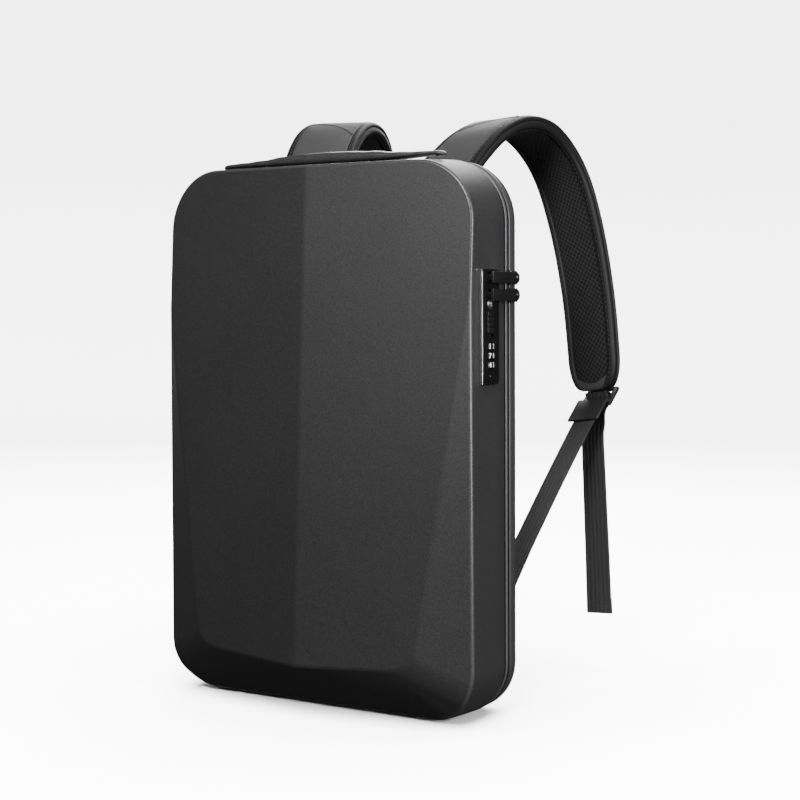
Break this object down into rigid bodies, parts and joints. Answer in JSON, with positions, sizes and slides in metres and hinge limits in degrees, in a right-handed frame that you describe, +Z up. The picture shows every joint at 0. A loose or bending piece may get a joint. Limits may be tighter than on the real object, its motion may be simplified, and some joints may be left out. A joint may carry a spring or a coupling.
{
  "type": "hard-shell laptop backpack",
  "caption": "Slim upright backpack with a faceted hard shell, side zip with a dial lock, padded shoulder straps with adjustable webbing, and a top handle.",
  "frame": {"origin": "middle of the flat base that the pack stands on, 26 mm behind the front rim of the case", "axes": "+Z up, -Y towards the faceted front, +X towards the side with the lock"},
  "size_m": [0.319, 0.3085, 0.4944],
  "materials": {
    "front_shell": "fine sandy moulded grain, charcoal",
    "rear_shell": "fine sandy moulded grain, charcoal",
    "zip_tape": "black woven tape",
    "zip_welt": "satin grey",
    "back_fabric": "black padded fabric",
    "strap_mesh": "black padded mesh",
    "strap_face": "smooth grey coated fabric",
    "handle_leather": "smooth charcoal",
    "webbing": "ribbed dark grey webbing",
    "black_plastic": "satin black",
    "dark_metal": "dark plated",
    "silver_metal": "polished",
    "dial_plastic": "satin black with white digits"
  },
  "bodies": {
    "pack": {"front_shell": "front_shell", "rear_shell": "rear_shell", "zip_tape": "zip_tape", "zip_welt": "zip_welt", "back_panel": "back_fabric", "strap_yoke": "back_fabric", "strap_pad_right": "strap_mesh", "strap_face_right": "strap_face", "short_web_right": "webbing", "buckle_right": "black_plastic", "lower_web_right": "webbing", "web_patch_right": "webbing", "strap_pad_left": "strap_mesh", "strap_face_left": "strap_face", "short_web_left": "webbing", "buckle_left": "black_plastic", "lower_web_left": "webbing", "web_patch_left": "webbing", "top_handle": "handle_leather", "handle_rivet_right": "dark_metal", "handle_rivet_left": "dark_metal", "lock_body": "black_plastic", "lock_trim": "silver_metal", "zip_slider_upper": "dark_metal", "zip_pull_upper": "black_plastic", "zip_slider_lower": "dark_metal", "zip_pull_lower": "black_plastic"},
    "dial_one": {"dial_1": "dial_plastic"},
    "dial_two": {"dial_2": "dial_plastic"},
    "dial_three": {"dial_3": "dial_plastic"},
    "key": {"key_cylinder": "silver_metal"},
    "release": {"release_slider": "black_plastic"}
  },
  "joints": [
    {"name": "dial_one_turn", "type": "hinge", "parent": "pack", "child": "dial_one", "pos_m": [0.14072, -0.00526, 0.29408], "axis": [-0.0067, 0, 1], "continuous": true},
    {"name": "dial_two_turn", "type": "hinge", "parent": "pack", "child": "dial_two", "pos_m": [0.14077, -0.00526, 0.28698], "axis": [-0.0067, 0, 1], "continuous": true},
    {"name": "dial_three_turn", "type": "hinge", "parent": "pack", "child": "dial_three", "pos_m": [0.14082, -0.00526, 0.27988], "axis": [-0.0067, 0, 1], "continuous": true},
    {"name": "key_turn", "type": "hinge", "parent": "pack", "child": "key", "pos_m": [0.14659, -0.00717, 0.32652], "axis": [0.9977, -0.0671, 0.0067], "range_deg": [0, 90]},
    {"name": "release_slide", "type": "slide", "parent": "pack", "child": "release", "axis": [0.0067, 0, -1], "range_m": [0, 0.0025], "stiffness_N_per_m": 200}
  ]
}
